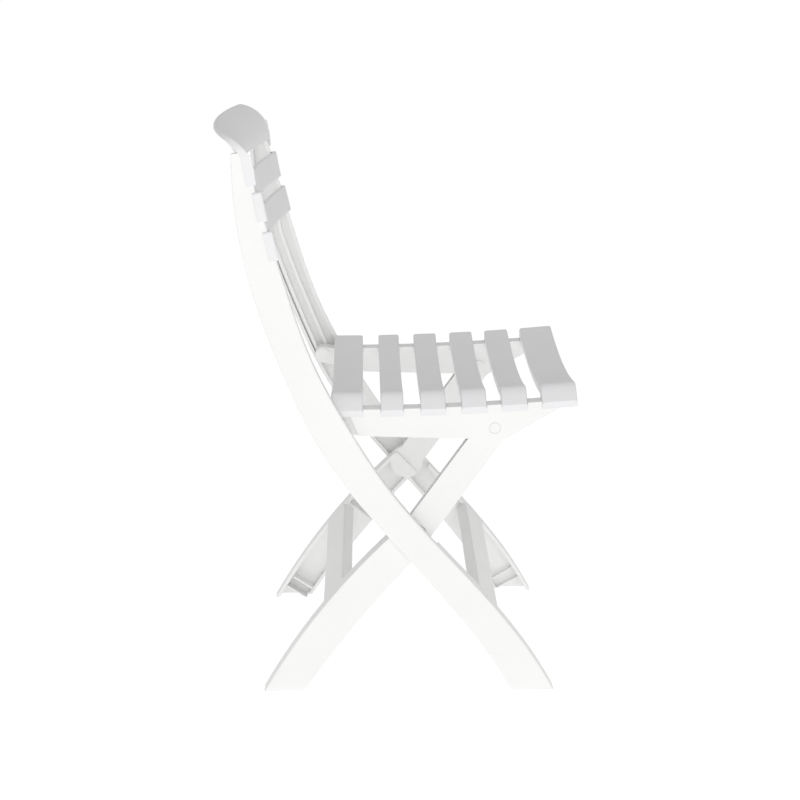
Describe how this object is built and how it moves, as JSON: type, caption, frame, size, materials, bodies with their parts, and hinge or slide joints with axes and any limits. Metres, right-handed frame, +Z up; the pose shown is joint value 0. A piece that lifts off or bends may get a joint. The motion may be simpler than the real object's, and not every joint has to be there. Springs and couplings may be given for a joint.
{
  "type": "folding chair",
  "caption": "Slatted plastic folding chair with curved side legs that cross a shorter pair, a dished seat and a curved back.",
  "frame": {"origin": "on the floor, in the middle of the open chair's plan", "axes": "+X to the right as seen from the front, +Y to the rear, +Z up; left and right in the names are as seen from the front"},
  "size_m": [0.44, 0.4898, 0.7738],
  "materials": {
    "frame_plastic": "satin",
    "slat_plastic": "satin",
    "pin_plastic": "satin"
  },
  "bodies": {
    "back_frame": {"left_side_leg": "frame_plastic", "right_side_leg": "frame_plastic", "front_cross_bar": "frame_plastic", "lower_back_slat": "slat_plastic", "middle_back_slat": "slat_plastic", "top_back_slat": "slat_plastic", "left_crossing_pin": "pin_plastic", "right_crossing_pin": "pin_plastic"},
    "leg_frame": {"left_short_leg": "frame_plastic", "right_short_leg": "frame_plastic", "rear_cross_bar": "frame_plastic"},
    "seat": {"left_seat_rail": "frame_plastic", "right_seat_rail": "frame_plastic", "seat_slat_1": "slat_plastic", "seat_slat_2": "slat_plastic", "seat_slat_3": "slat_plastic", "seat_slat_4": "slat_plastic", "seat_slat_5": "slat_plastic", "seat_slat_6": "slat_plastic", "left_seat_pin": "pin_plastic", "right_seat_pin": "pin_plastic", "left_slide_pin": "pin_plastic", "right_slide_pin": "pin_plastic"}
  },
  "joints": [
    {"name": "leg_fold", "type": "hinge", "parent": "back_frame", "child": "leg_frame", "pos_m": [0, -0.019, 0.219], "axis": [-1, 0, 0], "range_deg": [0, 60]},
    {"name": "seat_fold", "type": "hinge", "parent": "leg_frame", "child": "seat", "pos_m": [0, -0.132, 0.373], "axis": [1, 0, 0], "range_deg": [0, 115.41]}
  ],
  "couplings": [
    {"joint": "seat_fold", "follows": "leg_fold", "ratio": 1.9233}
  ]
}
